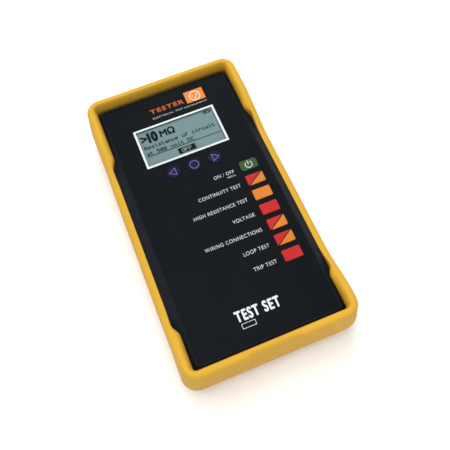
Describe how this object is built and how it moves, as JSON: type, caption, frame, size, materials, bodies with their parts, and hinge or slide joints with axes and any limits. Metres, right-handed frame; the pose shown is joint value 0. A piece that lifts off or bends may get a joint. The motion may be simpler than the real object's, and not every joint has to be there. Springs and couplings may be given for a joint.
{
  "type": "handheld electrical installation tester",
  "caption": "Handheld electrical installation tester in a rubber holster, with a display, sprung keys, test lead sockets and a battery door.",
  "frame": {"origin": "on the surface that the instrument lies on, under the middle of its outline", "axes": "+Z out of the front panel, +Y towards the display and the sockets, +X to the user's right"},
  "size_m": [0.1098, 0.1992, 0.04],
  "materials": {
    "holster_rubber": "matt moulded elastomer with a fine grain",
    "case_plastic": "fine textured black",
    "gasket_rubber": "soft black",
    "screw_steel": "zinc plated",
    "overlay_film": "velvet textured printed film",
    "clear_window": "clear hard coated acrylic",
    "display_metal": "folded sheet",
    "display_glass": "reflective liquid crystal cell",
    "light_guide": "milky acrylic",
    "board_laminate": "green solder resist",
    "switch_plastic": "moulded black",
    "chip_plastic": "moulded black",
    "relay_plastic": "blue case",
    "transformer_core": "ferrite and taped winding",
    "capacitor_sleeve": "shrunk sleeve",
    "fuse_glass": "clear tube with nickel caps",
    "contact_metal": "nickel plated",
    "contact_brass": "turned and plated",
    "cell_wrap": "plain wrap",
    "socket_red": "moulded red",
    "socket_green": "moulded green",
    "socket_blue": "moulded blue",
    "key_green": "satin moulded",
    "key_red": "satin moulded",
    "key_orange": "satin moulded",
    "key_red_orange": "satin moulded, split red and orange on the diagonal",
    "key_navy": "satin moulded"
  },
  "bodies": {
    "instrument": {"battery_cell_1": "cell_wrap", "battery_cell_2": "cell_wrap", "battery_cell_3": "cell_wrap", "battery_cell_4": "cell_wrap", "battery_contacts": "contact_metal", "battery_springs": "contact_metal", "board_screws": "screw_steel", "buzzer": "chip_plastic", "capacitors": "capacitor_sleeve", "case_gasket": "gasket_rubber", "case_screws": "screw_steel", "display_backlight": "light_guide", "display_frame": "display_metal", "display_glass": "display_glass", "display_window": "clear_window", "front_shell": "case_plastic", "fuse_clips": "contact_metal", "fuse_link": "fuse_glass", "holster": "holster_rubber", "key_switches": "switch_plastic", "keypad_overlay": "overlay_film", "load_resistors": "chip_plastic", "main_board": "board_laminate", "processor": "chip_plastic", "rear_shell": "case_plastic", "relays": "relay_plastic", "socket_contact_left": "contact_brass", "socket_contact_middle": "contact_brass", "socket_contact_right": "contact_brass", "socket_links": "contact_metal", "socket_shroud_left": "socket_red", "socket_shroud_middle": "socket_green", "socket_shroud_right": "socket_blue", "surge_arrester": "chip_plastic", "transformer": "transformer_core"},
    "door": {"battery_door": "case_plastic", "door_screws": "screw_steel"},
    "key_power_cap": {"key_power": "key_green"},
    "key_test_1_cap": {"key_test_1": "key_red_orange"},
    "key_test_2_cap": {"key_test_2": "key_orange"},
    "key_test_3_cap": {"key_test_3": "key_red"},
    "key_test_4_cap": {"key_test_4": "key_red_orange"},
    "key_test_5_cap": {"key_test_5": "key_red_orange"},
    "key_test_6_cap": {"key_test_6": "key_red"},
    "key_left_cap": {"key_left": "key_navy"},
    "key_select_cap": {"key_select": "key_navy"},
    "key_right_cap": {"key_right": "key_navy"}
  },
  "joints": [
    {"name": "key_power_press", "type": "slide", "parent": "instrument", "child": "key_power_cap", "axis": [0, 0, -1], "range_m": [0, 0.0004], "stiffness_N_per_m": 1500, "springref_m": -0.0008},
    {"name": "key_test_1_press", "type": "slide", "parent": "instrument", "child": "key_test_1_cap", "axis": [0, 0, -1], "range_m": [0, 0.0004], "stiffness_N_per_m": 1500, "springref_m": -0.0008},
    {"name": "key_test_2_press", "type": "slide", "parent": "instrument", "child": "key_test_2_cap", "axis": [0, 0, -1], "range_m": [0, 0.0004], "stiffness_N_per_m": 1500, "springref_m": -0.0008},
    {"name": "key_test_3_press", "type": "slide", "parent": "instrument", "child": "key_test_3_cap", "axis": [0, 0, -1], "range_m": [0, 0.0004], "stiffness_N_per_m": 1500, "springref_m": -0.0008},
    {"name": "key_test_4_press", "type": "slide", "parent": "instrument", "child": "key_test_4_cap", "axis": [0, 0, -1], "range_m": [0, 0.0004], "stiffness_N_per_m": 1500, "springref_m": -0.0008},
    {"name": "key_test_5_press", "type": "slide", "parent": "instrument", "child": "key_test_5_cap", "axis": [0, 0, -1], "range_m": [0, 0.0004], "stiffness_N_per_m": 1500, "springref_m": -0.0008},
    {"name": "key_test_6_press", "type": "slide", "parent": "instrument", "child": "key_test_6_cap", "axis": [0, 0, -1], "range_m": [0, 0.0004], "stiffness_N_per_m": 1500, "springref_m": -0.0008},
    {"name": "key_left_press", "type": "slide", "parent": "instrument", "child": "key_left_cap", "axis": [0, 0, -1], "range_m": [0, 0.0004], "stiffness_N_per_m": 1500, "springref_m": -0.0008},
    {"name": "key_select_press", "type": "slide", "parent": "instrument", "child": "key_select_cap", "axis": [0, 0, -1], "range_m": [0, 0.0004], "stiffness_N_per_m": 1500, "springref_m": -0.0008},
    {"name": "key_right_press", "type": "slide", "parent": "instrument", "child": "key_right_cap", "axis": [0, 0, -1], "range_m": [0, 0.0004], "stiffness_N_per_m": 1500, "springref_m": -0.0008},
    {"name": "battery_door_lift", "type": "slide", "parent": "instrument", "child": "door", "axis": [0, 0, -1], "range_m": [0, 0.03]}
  ]
}
